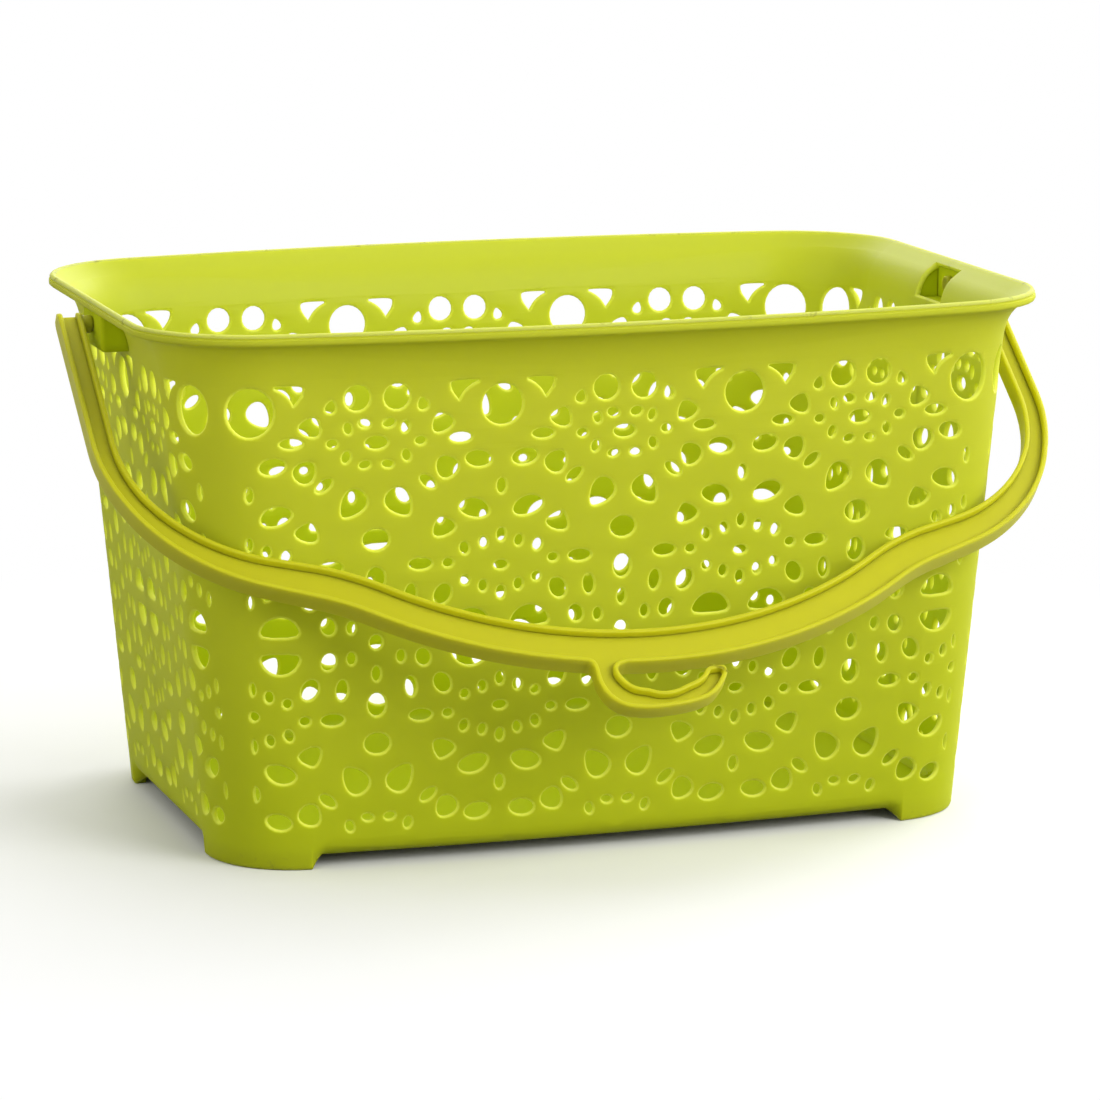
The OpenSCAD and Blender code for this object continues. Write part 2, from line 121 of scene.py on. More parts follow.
# lace: one half repeat above the mirror line, measured from the axis of the upper flowers
# each oval is across, height, width, tall, tilt and taper to its point
lace = {
    "round": 126.9, "mid": 63.5, "margin": 16.9, "low": 10.0, "repeat": 68.9, "mirrorBelow": 10.0,
    "roundD": 11.6, "cornerD": 13.8, "bevel": 0.7, "grow": 0.5,
    "frontDraw": 0.02, "frontDrawH": 107.0, "frontLow": 0.977,  # the columns close in towards the feet
    "over": 11.0, "clearLow": 1.0, "clearHigh": 0.5,  # the plate runs on past the middles and is cut there
    "ringSteps": [(3.4, 10), (5.0, 12), (8.0, 16)], "ringMost": 24,  # points of a hole up to each size
    "ovals": [
        (5.4, 130.2, 7.5, 7.5, 0, 0), (12.5, 128.0, 3.1, 3.9, 15, 0.25), (17.8, 122.8, 6.0, 5.6, 25, 0.35),
        (3.3, 123.2, 3.8, 2.9, 10, 0), (7.8, 122.0, 2.6, 3.7, -15, 0), (12.0, 118.0, 3.4, 2.7, 0, 0),
        (8.2, 114.2, 2.7, 3.7, 15, 0), (3.1, 112.0, 3.6, 2.5, -10, 0), (0.0, 117.9, 6.6, 4.0, 0, 0),
        (23.0, 118.4, 6.6, 3.2, 0, 0), (28.0, 112.3, 7.6, 4.8, -8, 0), (19.2, 110.6, 6.2, 6.6, 40, 0.2),
        (14.1, 106.7, 5.6, 3.1, -38, 0), (6.4, 101.3, 6.6, 8.8, -142, 0.3),
        (27.0, 98.9, 8.8, 5.4, -15, 0.1), (18.4, 94.3, 6.2, 5.6, 20, 0.4), (0.0, 91.5, 7.6, 6.2, 0, 0),
        (24.3, 88.0, 2.9, 3.8, 15, 0), (29.5, 89.4, 2.7, 3.5, 10, 0), (19.8, 84.2, 3.3, 2.8, 0, 0),
        (24.5, 79.2, 2.9, 3.0, 0, 0), (29.5, 77.4, 2.8, 3.6, 0, 0), (12.2, 84.3, 6.8, 3.6, 0, 0),
        (0.0, 80.7, 5.3, 6.8, 0, 0), (18.3, 75.7, 4.8, 6.3, -30, 0), (9.5, 76.2, 3.5, 6.0, -5, 0),
        (0.0, 72.2, 2.8, 4.6, 0, 0), (13.0, 68.3, 4.3, 5.2, -20, 0), (6.8, 67.7, 2.8, 3.9, 0, 0),
    ],
    "onAxis": [(104.6, 3.0, 4.6), (91.2, 2.8, 4.0), (82.9, 4.4, 2.9), (75.4, 2.8, 4.0)],
    "eye": (63.5, 3.9, 4.3),
    "arch": (26.2, 65.6, 11.3, 6.0), "archSide": 1.2, "archEase": 1.0, "archFoot": 0.6,
    "beak": [(19.4, 132.4), (19.5, 133.8), (20.6, 134.5), (22.7, 134.7), (25.5, 134.7), (28.0, 134.6),
             (28.4, 133.8), (28.1, 132.9), (26.9, 132.4), (25.5, 131.5), (24.3, 130.4), (23.4, 129.0),
             (22.8, 128.0), (22.1, 128.0), (21.4, 128.8), (20.0, 130.7)],
}
roundOutline = wallOutline(lace["round"])
laceP = (2 * roundOutline[0] - 2 * lace["margin"]) / 3
laceQ = (2 * roundOutline[1] - 2 * lace["margin"]) / 2
flatLength = quarterLength(roundOutline)
frontAxis = 1.5 * laceP
endAxis = laceQ


def endSpan(z):
    cx, cy, start, side, corner = stretches(wallOutline(z))
    return cy + wallOutline(z)[2] * math.pi / 4


def bend(knots, u):
    for (u0, s0), (u1, s1) in zip(knots, knots[1:]):
        if u <= u1:
            return s0 + (s1 - s0) * (u - u0) / (u1 - u0)
    return knots[-1][1]


def alongWall(u, z):  # the pattern keeps its columns, and the corner takes up the difference
    total = quarterLength(wallOutline(z))
    frontShare = 1 - lace["frontDraw"] * (lace["round"] - z) / lace["frontDrawH"]
    endShare = endSpan(z) / endSpan(lace["round"])
    return bend([(0, 0), (frontAxis, frontAxis * frontShare),
                 (flatLength - endAxis, total - endAxis * endShare), (flatLength, total)], u)


# how the columns spread along the longer rim: places from the middles, and what they gain there
rimSpread = {"sideU": 85.0, "sideMore": 0.5, "frontMore": 5.3, "endMore": 4.4, "endU": 44.0}


def alongRim(u):
    total = quarterLength(rimOutline)
    r = rimSpread
    return bend([(0, 0), (r["sideU"], r["sideU"] + r["sideMore"]), (frontAxis, frontAxis + r["frontMore"]),
                 (flatLength - endAxis, total - endAxis - r["endMore"]),
                 (flatLength - r["endU"], total - (r["endU"] + r["sideMore"])), (flatLength, total)], u)


# heights along the plate: the rolled bottom edge, the straight wall, the flare and the lip
vBend = shell["footH"] + shell["bottomR"]
vLow = vBend - shell["bottomR"] * math.pi / 2
tInner = math.radians(60)  # the inside runs straight from here to the lip's edge
tLip = math.acos(shell["lipRound"] / shell["flareX"])
vInner = flareZ + shell["flareH"] * tInner
vLip = flareZ + shell["flareH"] * tLip
lipBase = flareZ + shell["flareH"] * math.sin(tLip) + shell["lipRound"]
vBand = vLip + shell["lipRound"] * math.pi / 2
vTop = vBand + shell["height"] - lipBase


def smooth(t):
    t = min(max(t, 0.0), 1.0)
    return t * t * (3 - 2 * t)


footStart = (baseL / 2 - shell["footX"] - shell["footH"]) / lace["frontLow"]
footEnd = flatLength - (baseW / 2 - shell["footY"] - shell["footH"]) / (endSpan(0) / endSpan(lace["round"]))


def rolled(u):  # 1 between the feet, 0 in a foot
    ease = shell["footEase"]
    return max(smooth((footStart + ease - u) / ease), smooth((u - footEnd + ease) / ease))


def flareShare(t, way):  # how far the flare has turned out, and how fast; tighter at the ends
    power = 1 + shell["flareTight"] * abs(way.x)
    full = 1 - math.cos(tLip)
    part = max(1 - math.cos(t), 1e-6) / full
    return full * part ** power, power * part ** (power - 1) * math.sin(t)


def wallPlace(u, v, depth):  # a place on the shell in mm: depth 0 is the outside, 1 the inside
    s = shell
    z = min(max(v, 0.0), lipZ)
    if v > flareZ:
        z = flareZ + s["flareH"] * math.sin(min((v - flareZ) / s["flareH"], tLip))
    p, n = pointOn(wallOutline(z), alongWall(u, z))
    inset, deep, rise = 0.0, s["wall"], 0.0
    if v < vBend:
        t = (vBend - v) / s["bottomR"]
        w = rolled(u)
        inset = w * s["bottomR"] * (1 - math.cos(t))
        z = mix(vBend - (vBend - v) * vBend / (vBend - vLow), vBend - s["bottomR"] * math.sin(t), w)
        deep = mix(s["wall"], s["wall"] * math.cos(t), w)
        rise = mix(0.0, s["wall"] * math.sin(t), w)
    elif v > flareZ:
        t = min((v - flareZ) / s["flareH"], tLip)
        rimP, rimN = pointOn(rimOutline, alongRim(u))
        share, growth = flareShare(t, rimN)
        reach = (rimP - p).length
        p = p.lerp(rimP, share)
        n = n.lerp(rimN, share).normalized()
        slope = math.atan2(reach * growth, s["flareH"] * math.cos(t))
        outward = reach * (share - 1)
        deep, rise = s["wall"] * math.cos(slope), s["wall"] * math.sin(slope)
        if v > vLip:
            turn = min((v - vLip) / s["lipRound"], math.pi / 2)
            crown = s["lipCrown"] * (max(v - vBand, 0) / (vTop - vBand)) ** 2
            groove = s["lipGroove"] * max(1 - ((v - vBand - s["grooveAt"]) / s["grooveW"]) ** 2, 0)
            p = rimP
            outward = -s["lipRound"] * (1 - math.sin(turn)) - crown - groove
            inset = -outward
            z = lipBase - s["lipRound"] * math.cos(turn) + max(v - vBand, 0)
        if v > vInner:
            lowShare, lowGrowth = flareShare(tInner, rimN)
            slope = math.atan2(reach * lowGrowth, s["flareH"] * math.cos(tInner))
            lowOut = reach * (lowShare - 1) - s["wall"] * math.cos(slope)
            lowZ = flareZ + s["flareH"] * math.sin(tInner) + s["wall"] * math.sin(slope)
            g = (v - vInner) / (vTop - vInner)
            deep = outward - mix(lowOut, -s["lipT"], g)
            rise = mix(lowZ, s["height"], g) - z
    q = p - n * (inset + deep * depth)
    return Vector((q.x, q.y, z + rise * depth))


def eggRing(x, z, w, h, tilt, taper, flip=1, up=1, squeeze=1):
    size = max(w, h)
    count = next((n for most, n in lace["ringSteps"] if size < most), lace["ringMost"])
    a = math.radians(tilt)
    ring = []
    for i in range(count):
        t = 2 * math.pi * (i + 0.5) / count
        px = (w / 2 + lace["grow"]) * math.cos(t) * (1 - taper * math.sin(t))
        py = (h / 2 + lace["grow"]) * math.sin(t)
        ring.append((x + flip * squeeze * (px * math.cos(a) - py * math.sin(a)),
                     z + up * (px * math.sin(a) + py * math.cos(a))))
    return ring


def cornersCut(points, ends):  # two points on each stretch between neighbours
    cut = []
    for (x0, y0), (x1, y1) in zip(points, ends):
        cut += [(mix(x0, x1, 0.25), mix(y0, y1, 0.25)), (mix(x0, x1, 0.75), mix(y0, y1, 0.75))]
    return cut


def softened(points):  # a closed outline with its corners cut once
    return cornersCut(points, points[1:] + points[:1])


def rounder(points, times=2):  # an open line with its corners cut, its ends kept
    for k in range(times):
        points = points[:1] + cornersCut(points, points[1:]) + points[-1:]
    return points


def archRing(x, z, w, h, flip, up, squeeze):
    g, side, ease, foot = lace["grow"], lace["archSide"], lace["archEase"], lace["archFoot"]
    ring = [(-w / 2 - g, side), (-w / 2 + ease, -g), (w / 2 - ease, -g), (w / 2 + g, side)]
    ring += [((w / 2 + g) * math.cos(t), foot + (h - foot + g) * math.sin(t))
             for t in [math.radians(d) for d in range(20, 170, 20)]]
    return softened([(x + flip * squeeze * px, z + up * py) for px, py in ring])


def laceRings(axis, squeeze):
    rings = []
    for x, z, w, h, tilt, taper in lace["ovals"]:
        low = 2 * lace["mid"] - z
        for side in ((1,) if x == 0 else (-1, 1)):
            across = axis + side * x * squeeze
            rings.append(eggRing(across, z, w, h, tilt, taper, side, 1, squeeze))
            if low - h / 2 > lace["low"] and z < lace["round"] - lace["mirrorBelow"]:
                rings.append(eggRing(across, low, w, h, tilt, taper, side, -1, squeeze))
    z, w, h = lace["eye"]
    rings.append(eggRing(axis, z, w, h, 0, 0, 1, 1, squeeze))
    for side in (-1, 1):
        x, z, w, h = lace["arch"]
        rings.append(archRing(axis + side * x * squeeze, z, w, h, side, 1, squeeze))
        rings.append(archRing(axis + side * x * squeeze, 2 * lace["mid"] - z, w, h, side, -1, squeeze))
        rings.append(softened([(axis + side * bx * squeeze, bz) for bx, bz in lace["beak"]]))
    return rings


def axisRings(axis, squeeze, roundD):
    rings = [eggRing(axis, lace["round"], roundD, roundD, 0, 0, 1, 1, squeeze)]
    for z, w, h in lace["onAxis"]:
        rings.append(eggRing(axis, z, w, h, 0, 0, 1, 1, squeeze))
        rings.append(eggRing(axis, 2 * lace["mid"] - z, w, h, 0, 0, 1, -1, squeeze))
    return rings


# how the lace sits in the photograph: lower towards the feet, wider at half height, drawn in at the corners
settle = {
    "drop": 0.1, "dropLow": 0.65, "lowFrom": 120.0, "lowOver": 90.0,
    "dropSide": 0.4, "sideFrom": 75.0, "sideOver": 60.0, "sideU": 80.0,
    "spread": 0.9, "spreadZ": 68.0, "spreadH": 66.0, "spreadTo": 100.0, "fadeTo": 140.0, "fadeOver": 40.0,
    "corner": 2.6, "cornerU": 131.0, "cornerW": 28.0, "cornerTop": 0.4, "topFrom": 124.0, "topOver": 14.0,
}


def settled(ring):
    s = settle
    moved = []
    for u, z in ring:
        side = min(u / s["sideU"], 1.0)
        drop = s["drop"] + s["dropLow"] * smooth((s["lowFrom"] - z) / s["lowOver"])
        drop += s["dropSide"] * side ** 2 * smooth((s["sideFrom"] - z) / s["sideOver"])
        reach = min(u, s["spreadTo"]) / s["sideU"]
        bulge = max(1 - ((z - s["spreadZ"]) / s["spreadH"]) ** 2, 0)
        fade = min(max((s["fadeTo"] - u) / s["fadeOver"], 0), 1)
        spread = s["spread"] * bulge * reach * abs(reach) ** 0.5 * fade
        corner = s["corner"] * max(1 - abs(u - s["cornerU"]) / s["cornerW"], 0)
        corner *= mix(s["cornerTop"], 1.0, smooth((s["topFrom"] - z) / s["topOver"]))
        moved.append((u + spread - corner, z - drop))
    return moved


# meshes
def plateMesh(name, rings, thick, bevel, rounds=1, shrink=0.0):  # first ring the edge, others holes
    curve = bpy.data.curves.new(name, "CURVE")
    curve.dimensions = "2D"
    curve.fill_mode = "BOTH"
    curve.extrude = thick / 2 - bevel
    curve.bevel_depth = bevel
    curve.offset = -shrink
    curve.bevel_resolution = rounds
    for ring in rings:
        spline = curve.splines.new("POLY")
        spline.points.add(len(ring) - 1)
        for p, (x, y) in zip(spline.points, ring):
            p.co = (x, y, 0, 1)
        spline.use_cyclic_u = True
    holder = bpy.data.objects.new(name, curve)
    bpy.context.scene.collection.objects.link(holder)
    mesh = bpy.data.meshes.new_from_object(holder.evaluated_get(bpy.context.evaluated_depsgraph_get()))
    bpy.data.objects.remove(holder)
    bpy.data.curves.remove(curve)
    bm = bmesh.new()
    bm.from_mesh(mesh)
    bpy.data.meshes.remove(mesh)
    bmesh.ops.remove_doubles(bm, verts=bm.verts, dist=1e-4)
    return bm


def sliceAt(bm, at, way, clearBelow=False, clearAbove=False):
    bmesh.ops.bisect_plane(bm, geom=bm.verts[:] + bm.edges[:] + bm.faces[:], dist=1e-5,
                           plane_co=at, plane_no=way, clear_inner=clearBelow, clear_outer=clearAbove)


def steps(low, high, most):  # places between two ends, no further apart than most
    n = max(1, math.ceil((high - low) / most))
    return [low + (high - low) * i / n for i in range(1, n)]


def turnedBar(radius, low, high, z=0.0):  # a bar along x
    bm = bmesh.new()
    place = Matrix.Translation(((low + high) / 2, 0, z)) @ Matrix.Rotation(math.radians(90), 4, "Y")
    bmesh.ops.create_cone(bm, cap_ends=True, segments=40, radius1=radius, radius2=radius,
                          depth=high - low, matrix=place)
    return bm


def asPiece(bm, name, material, body, node):
    bmesh.ops.transform(bm, matrix=Matrix.Scale(mm, 4), verts=bm.verts)
    mesh = bpy.data.meshes.new(name)
    bm.to_mesh(mesh)
    bm.free()
    mesh.materials.append(material)
    for poly in mesh.polygons:
        poly.use_smooth = True
    obj = bpy.data.objects.new(name, mesh)
    bpy.context.scene.collection.objects.link(obj)
    mesh.set_sharp_from_angle(angle=math.radians(50))
    keep = obj.modifiers.new("faceNormals", "WEIGHTED_NORMAL")
    keep.keep_sharp = True
    keep.weight = 60
    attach(obj, body)
    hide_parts(node)
    return obj


def joined(parts):  # several closed meshes as one
    whole = bmesh.new()
    for bm in parts:
        mesh = bpy.data.meshes.new("part")
        bm.to_mesh(mesh)
        bm.free()
        whole.from_mesh(mesh)
        bpy.data.meshes.remove(mesh)
    return whole


def mirrored(bm, axis, weld=True):  # adds the mirror image and turns its faces the right way
    twin = bmesh.ops.duplicate(bm, geom=bm.verts[:] + bm.edges[:] + bm.faces[:])["geom"]
    verts = [g for g in twin if isinstance(g, bmesh.types.BMVert)]
    faces = [g for g in twin if isinstance(g, bmesh.types.BMFace)]
    size = Vector((1, 1, 1))
    size[axis] = -1
    bmesh.ops.scale(bm, vec=size, verts=verts)
    bmesh.ops.reverse_faces(bm, faces=faces)
    if weld:
        seam = [v for v in bm.verts if abs(v.co[axis]) < 1e-3]
        bmesh.ops.remove_doubles(bm, verts=seam, dist=2e-3)


# materials
def linear(hexCode):
    parts = [int(hexCode[i:i + 2], 16) / 255 for i in (1, 3, 5)]
    return tuple(c / 12.92 if c <= 0.04045 else ((c + 0.055) / 1.055) ** 2.4 for c in parts) + (1.0,)


def addNode(tree, kind, settings=None, links=None, **values):
    made = tree.nodes.new(kind)
    for key, value in (settings or {}).items():
        setattr(made, key, value)
    for key, value in values.items():
        made.inputs[key.replace("_", " ")].default_value = value
    for key, source in (links or {}).items():
        tree.links.new(source, made.inputs[key])
    return made


def combined(tree, operation, first, second):
    return addNode(tree, "ShaderNodeMath", {"operation": operation}, {0: first, 1: second}).outputs[0]


def plusShare(tree, start, share, value):  # start + share * value
    made = addNode(tree, "ShaderNodeMath", {"operation": "MULTIPLY_ADD"}, {0: value, 2: start})
    made.inputs[1].default_value = share
    return made.outputs[0]


def tinted(tree, share, under, hexCode):  # lays a colour over another by a share
    made = addNode(tree, "ShaderNodeMix", {"data_type": "RGBA"}, {0: share, 6: under})
    made.inputs[7].default_value = linear(hexCode)
    return made.outputs[2]


def ranged(tree, value, **limits):
    return addNode(tree, "ShaderNodeMapRange", links={"Value": value}, **limits).outputs[0]


# plastics: pattern sizes and heights in metres, and the tones that lie over the body's colour: a painted
# glow inside, dust and scuffs
plastic = {
    "flow": 0.045, "flowShare": 0.4,  # wide, faint clouds of melt flow
    "scuff": 0.006,  # small scuffs, only where the lip and the feet are rubbed
    "grain": 0.0012, "grainDeep": 0.0002,  # the mould's skin, coarser than the real 0.1 mm so it shows
    # heights: the painted shade and sheen ramp runs from feetZ to rimZ, and the painted inside glow is
    # strongest from insideZ down
    "feetZ": 0.01, "rimZ": 0.13, "insideZ": 0.06,
    # the inside tone is a painted glow: brighter and greener over the inside faces, for light through the
    # thin walls
    "inside": "#bdca0a", "dust": "#a2a66e", "rubbed": "#6f6a2e",
    "polish": -0.26,  # the inside is smoother than the outside
    "ior": 1.49, "bleed": 0.005, "bleedTint": (1.0, 0.95, 0.25),
}


# deep and body are painted tones of one plastic, towards the feet and higher up: painted shade low and
# painted sheen high on the walls and handle
def mouldedPlastic(name, body, deep, pale, subsurface, rough, gloss):
    # moulded polypropylene: waxy, a soft wide gloss, light bleeding through thin edges
    p = plastic
    material = bpy.data.materials.new(name)
    material.use_nodes = True
    tree = material.node_tree
    tree.nodes.clear()
    out = addNode(tree, "ShaderNodeOutputMaterial")
    place = addNode(tree, "ShaderNodeTexCoord").outputs["Object"]
    height = addNode(tree, "ShaderNodeSeparateXYZ", links={"Vector": place}).outputs["Z"]
    inner, edge, rubbed = [addNode(tree, "ShaderNodeAttribute", {"attribute_name": mark}).outputs["Fac"]
                           for mark in ("innerFace", "holeEdgeGlow", "rubbed")]
    clouds = addNode(tree, "ShaderNodeTexNoise", links={"Vector": place},
                     Scale=1 / p["flow"], Detail=3.0).outputs["Fac"]
    specks = addNode(tree, "ShaderNodeTexNoise", links={"Vector": place},
                     Scale=1 / p["scuff"], Detail=4.0, Roughness=0.7).outputs["Fac"]
    grain = addNode(tree, "ShaderNodeTexNoise", links={"Vector": place},
                    Scale=1 / p["grain"], Detail=2.0).outputs["Fac"]
    # painted shade and sheen: darker and more saturated towards the feet, paler higher up, broken by the
    # melt-flow clouds
    shadeByHeight = ranged(tree, height, From_Min=p["feetZ"], From_Max=p["rimZ"], To_Min=-0.2, To_Max=0.8)
    flow = addNode(tree, "ShaderNodeMix", {"data_type": "RGBA"},
                   {0: plusShare(tree, shadeByHeight, p["flowShare"], clouds)})
    flow.inputs[6].default_value = linear(deep)
    flow.inputs[7].default_value = linear(body)
    # painted glow: the inside faces brighter and greener, most from insideZ down, for light through the
    # thin walls
    insideGlowShare = ranged(tree, height, From_Min=p["rimZ"], From_Max=p["insideZ"], To_Min=0.3)
    tone = tinted(tree, combined(tree, "MULTIPLY", inner, insideGlowShare), flow.outputs[2], p["inside"])
    # painted glow on the holes' edges, for light coming through the thin plastic there
    tone = tinted(tree, edge, tone, pale)
    # dull dust and dark scuffs where the lip and the feet are rubbed
    scuffs = ranged(tree, specks, From_Min=0.6, From_Max=0.7, To_Max=0.55)
    tone = tinted(tree, ranged(tree, rubbed, From_Min=0.7, To_Max=0.5), tone, p["dust"])
    tone = tinted(tree, combined(tree, "MULTIPLY", scuffs, rubbed), tone, p["rubbed"])
    bump = addNode(tree, "ShaderNodeBump", links={"Height": grain}, Strength=0.05, Distance=p["grainDeep"])
    patchy = ranged(tree, clouds, To_Min=rough - 0.05, To_Max=rough + 0.07)
    sheen = plusShare(tree, patchy, p["polish"], inner)
    bsdf = addNode(tree, "ShaderNodeBsdfPrincipled",
                   links={"Base Color": tone, "Roughness": sheen, "Normal": bump.outputs[0]},
                   IOR=p["ior"], Specular_IOR_Level=gloss, Subsurface_Weight=subsurface,
                   Subsurface_Scale=p["bleed"], Subsurface_Radius=p["bleedTint"])
    tree.links.new(bsdf.outputs[0], out.inputs[0])
    return material


# the third colour of each plastic is the painted glow on the holes' edges
limePlastic = mouldedPlastic("limePolypropylene", "#bfc42c", "#b7c00d", "#d8e14c", 0.8, 0.72, 0.24)
# on the floor plate its deep colour, brighter and greener, is a painted glow for light through the walls
limeFloor = mouldedPlastic("limePolypropyleneMatt", "#b8c410", "#bbca0a", "#d4de4a", 0.8, 0.8, 0.1)
olivePlastic = mouldedPlastic("olivePolypropylene", "#c1bf1c", "#c2be14", "#ccc93c", 0.8, 0.52, 0.25)

# niches: a tray hung under the flare at each end, with the pin's bore; made after the shell they open into
niche = {
    "halfW": 9.6, "wall": 1.8, "out": 129.0, "pivotZ": 142.0, "drop": 4.8, "boreR": 2.08, "drillL": 300.0,
    "foldR": 1.3, "foldShare": 0.6, "foldLeast": 0.6, "mouthTurn": 82.0, "lap": 0.4, "shoulder": 0.3,
    "rowZ": [146.3, 144.2, 142.0, 140.0],
}
nicheFloor = niche["pivotZ"] - niche["drop"]

# lace shell: one flat quarter with its holes, bent round from the front's middle to the end's middle
vFirst, vLast = vLow + lace["bevel"], vTop - lace["bevel"]  # the bevel swells the plate's edge
over = lace["over"]
edgeRing = [(-over, vFirst), (flatLength + over, vFirst), (flatLength + over, vLast), (-over, vLast)]
sideSqueeze, endSqueeze = laceP / lace["repeat"], laceQ / lace["repeat"]
holes = laceRings(0, sideSqueeze) + laceRings(laceP, sideSqueeze)
holes += laceRings(flatLength - laceQ / 2, endSqueeze)
holes += axisRings(laceP / 2, sideSqueeze, lace["roundD"])
holes += axisRings(frontAxis, sideSqueeze, lace["cornerD"])
holes += axisRings(flatLength - endAxis, endSqueeze, lace["cornerD"])
holes += axisRings(flatLength, endSqueeze, lace["roundD"])
holes = [settled(r) for r in holes]
vMouthLow = flareZ + shell["flareH"] * math.asin((nicheFloor - flareZ) / shell["flareH"])
vMouthHigh = flareZ + shell["flareH"] * math.radians(niche["mouthTurn"])
mouthLeft, mouthRight = flatLength - niche["halfW"], flatLength + niche["halfW"]
holes.append([(mouthLeft, vMouthLow), (mouthRight, vMouthLow),
              (mouthRight, vMouthHigh), (mouthLeft, vMouthHigh)])


def clearOfEdge(ring):
    across = [x for x, y in ring]
    return min(across) > lace["clearLow"] - over and max(across) < flatLength + over - lace["clearHigh"]


holes = [r for r in holes if clearOfEdge(r)]
plate = plateMesh("lacePlate", [edgeRing] + holes, shell["wall"], lace["bevel"], 1)
print("lace plate:", len(holes), "holes,", len(plate.faces), "faces")

cornerLow, cornerHigh = shell["cornerFrom"], flatLength - shell["cornerTo"]
footEases = [shell["footEase"] * share for share in (0, 0.5, 1)]
uCuts = steps(0, cornerLow, shell["sideSlice"]) + [cornerLow]
uCuts += steps(cornerLow, cornerHigh, shell["cornerSlice"]) + [cornerHigh]
uCuts += steps(cornerHigh, flatLength, shell["sideSlice"])
uCuts += [footStart + e for e in footEases] + [footEnd - e for e in reversed(footEases)]
vCuts = steps(vLow, vBend, shell["bottomSlice"]) + [vBend, shell["waistCut"], flareZ]
vCuts += steps(flareZ, vLip, shell["flareSlice"])
vCuts += [vLip + c for c in shell["lipCuts"]] + [vBand + c for c in shell["bandCuts"]]
sliceAt(plate, (0, 0, 0), (1, 0, 0), clearBelow=True)
sliceAt(plate, (flatLength, 0, 0), (1, 0, 0), clearAbove=True)
for u in uCuts:
    sliceAt(plate, (u, 0, 0), (1, 0, 0))
for v in vCuts:
    sliceAt(plate, (0, v, 0), (0, 1, 0))

# marks for the plastic: the holes' edges for their painted glow, the inside for its painted glow and
# smoother finish, and where the lip and the feet are rubbed
rub = {"lipBand": 2.2, "lipEase": 1.6, "foot": 0.7, "footUp": 8.0}
halfWall = shell["wall"] / 2
edgeGlowMark = plate.verts.layers.float.new("holeEdgeGlow")
wearMark = plate.verts.layers.float.new("rubbed")
innerMark = plate.verts.layers.float.new("innerFace")
for v in plate.verts:
    lipRub = smooth((v.co.y - vTop + rub["lipBand"]) / rub["lipEase"])
    footRub = rub["foot"] * smooth((rub["footUp"] - v.co.y) / rub["footUp"]) * (1 - rolled(v.co.x))
    v[innerMark] = 1.0 if v.co.z < -halfWall + 1e-3 else 0.0
    v[edgeGlowMark] = 1.0 if abs(v.co.z) < halfWall - 1e-3 else 0.0
    v[wearMark] = max(lipRub, footRub)
for v in plate.verts:
    v.co = wallPlace(v.co.x, v.co.y, (halfWall - v.co.z) / shell["wall"])
mirrored(plate, 0)
cutEdges = [e for e in plate.edges if e.is_boundary and max(abs(v.co.y) for v in e.verts) < 1e-2]
bmesh.ops.holes_fill(plate, edges=cutEdges)  # closes the cut at the ends' middles, where the halves meet
print("lace half:", len(plate.faces), "faces,", sum(e.is_boundary for e in plate.edges), "open edges")
backHalf = plate.copy()
bmesh.ops.scale(backHalf, vec=(1, -1, 1), verts=backHalf.verts)
bmesh.ops.reverse_faces(backHalf, faces=backHalf.faces)
asPiece(plate, "laceFront", limePlastic, "basket", "basket")
asPiece(backHalf, "laceBack", limePlastic, "basket", "basket")

# floor: a plain plate that ends in the rolled edge, or at the wall in the feet, and the insides of the feet
floor = {"low": 3.3, "high": 4.9, "level": 4, "inset": 4.5, "footInset": 1.72, "bevel": 0.3, "slice": 3.0}
footIn = {"lowIn": 3.9, "low": 0.32, "highIn": 1.6, "high": 3.15, "from": 0.9, "bevel": 0.3}


def floorRing(z):
    ease = [shell["footEase"] * i / 6 for i in range(7)]
    marks = [0.0] + steps(0, footStart, shell["sideSlice"]) + [footStart + e for e in ease]
    marks += steps(footStart + shell["footEase"], footEnd - shell["footEase"], floor["slice"])
    marks += [footEnd - e for e in reversed(ease)] + steps(footEnd, flatLength, shell["sideSlice"])
    quarter = []
    for u in marks:
        p, n = pointOn(wallOutline(z), alongWall(u, z))
        quarter.append((p - n * mix(floor["footInset"], floor["inset"], rolled(u) ** 3)).to_tuple())
    right = quarter + [(x, -y) for x, y in reversed(quarter)]
    return right + [(-x, y) for x, y in reversed(right[1:-1])]


base = plateMesh("floorPlate", [floorRing(floor["level"])], floor["high"] - floor["low"], floor["bevel"], 1,
                 floor["bevel"])
bmesh.ops.translate(base, vec=(0, 0, (floor["high"] + floor["low"]) / 2), verts=base.verts)
footRing = [(footStart + footIn["lowIn"], vLow + footIn["low"]),
            (footEnd - footIn["lowIn"], vLow + footIn["low"]),
            (footEnd - footIn["highIn"], footIn["high"]), (footStart + footIn["highIn"], footIn["high"])]
foot = plateMesh("footInside", [footRing], shell["footT"] - footIn["from"], footIn["bevel"])
for u in steps(footStart, footEnd, shell["cornerSlice"]):
    sliceAt(foot, (u, 0, 0), (1, 0, 0))
for v in foot.verts:
    v.co = wallPlace(v.co.x, v.co.y, ((shell["footT"] + footIn["from"]) / 2 - v.co.z) / shell["wall"])
mirrored(foot, 0, weld=False)
mirrored(foot, 1, weld=False)
asPiece(joined([base, foot]), "basketFloor", limeFloor, "basket", "basket")


# the niches' trays: rows from the flare down, round a fold and under the floor
def flareMiddle(z):  # x of the end wall's mid thickness at the flare
    t = math.asin(min(max((z - flareZ) / shell["flareH"], 0), 0.999))
    share, growth = flareShare(t, Vector((1, 0)))
    x = mix(wallOutline(z)[0], shell["rimL"] / 2, share)
    slope = math.atan2(shell["flareX"] * growth, shell["flareH"] * math.cos(t))
    return x - halfWall * math.cos(slope)


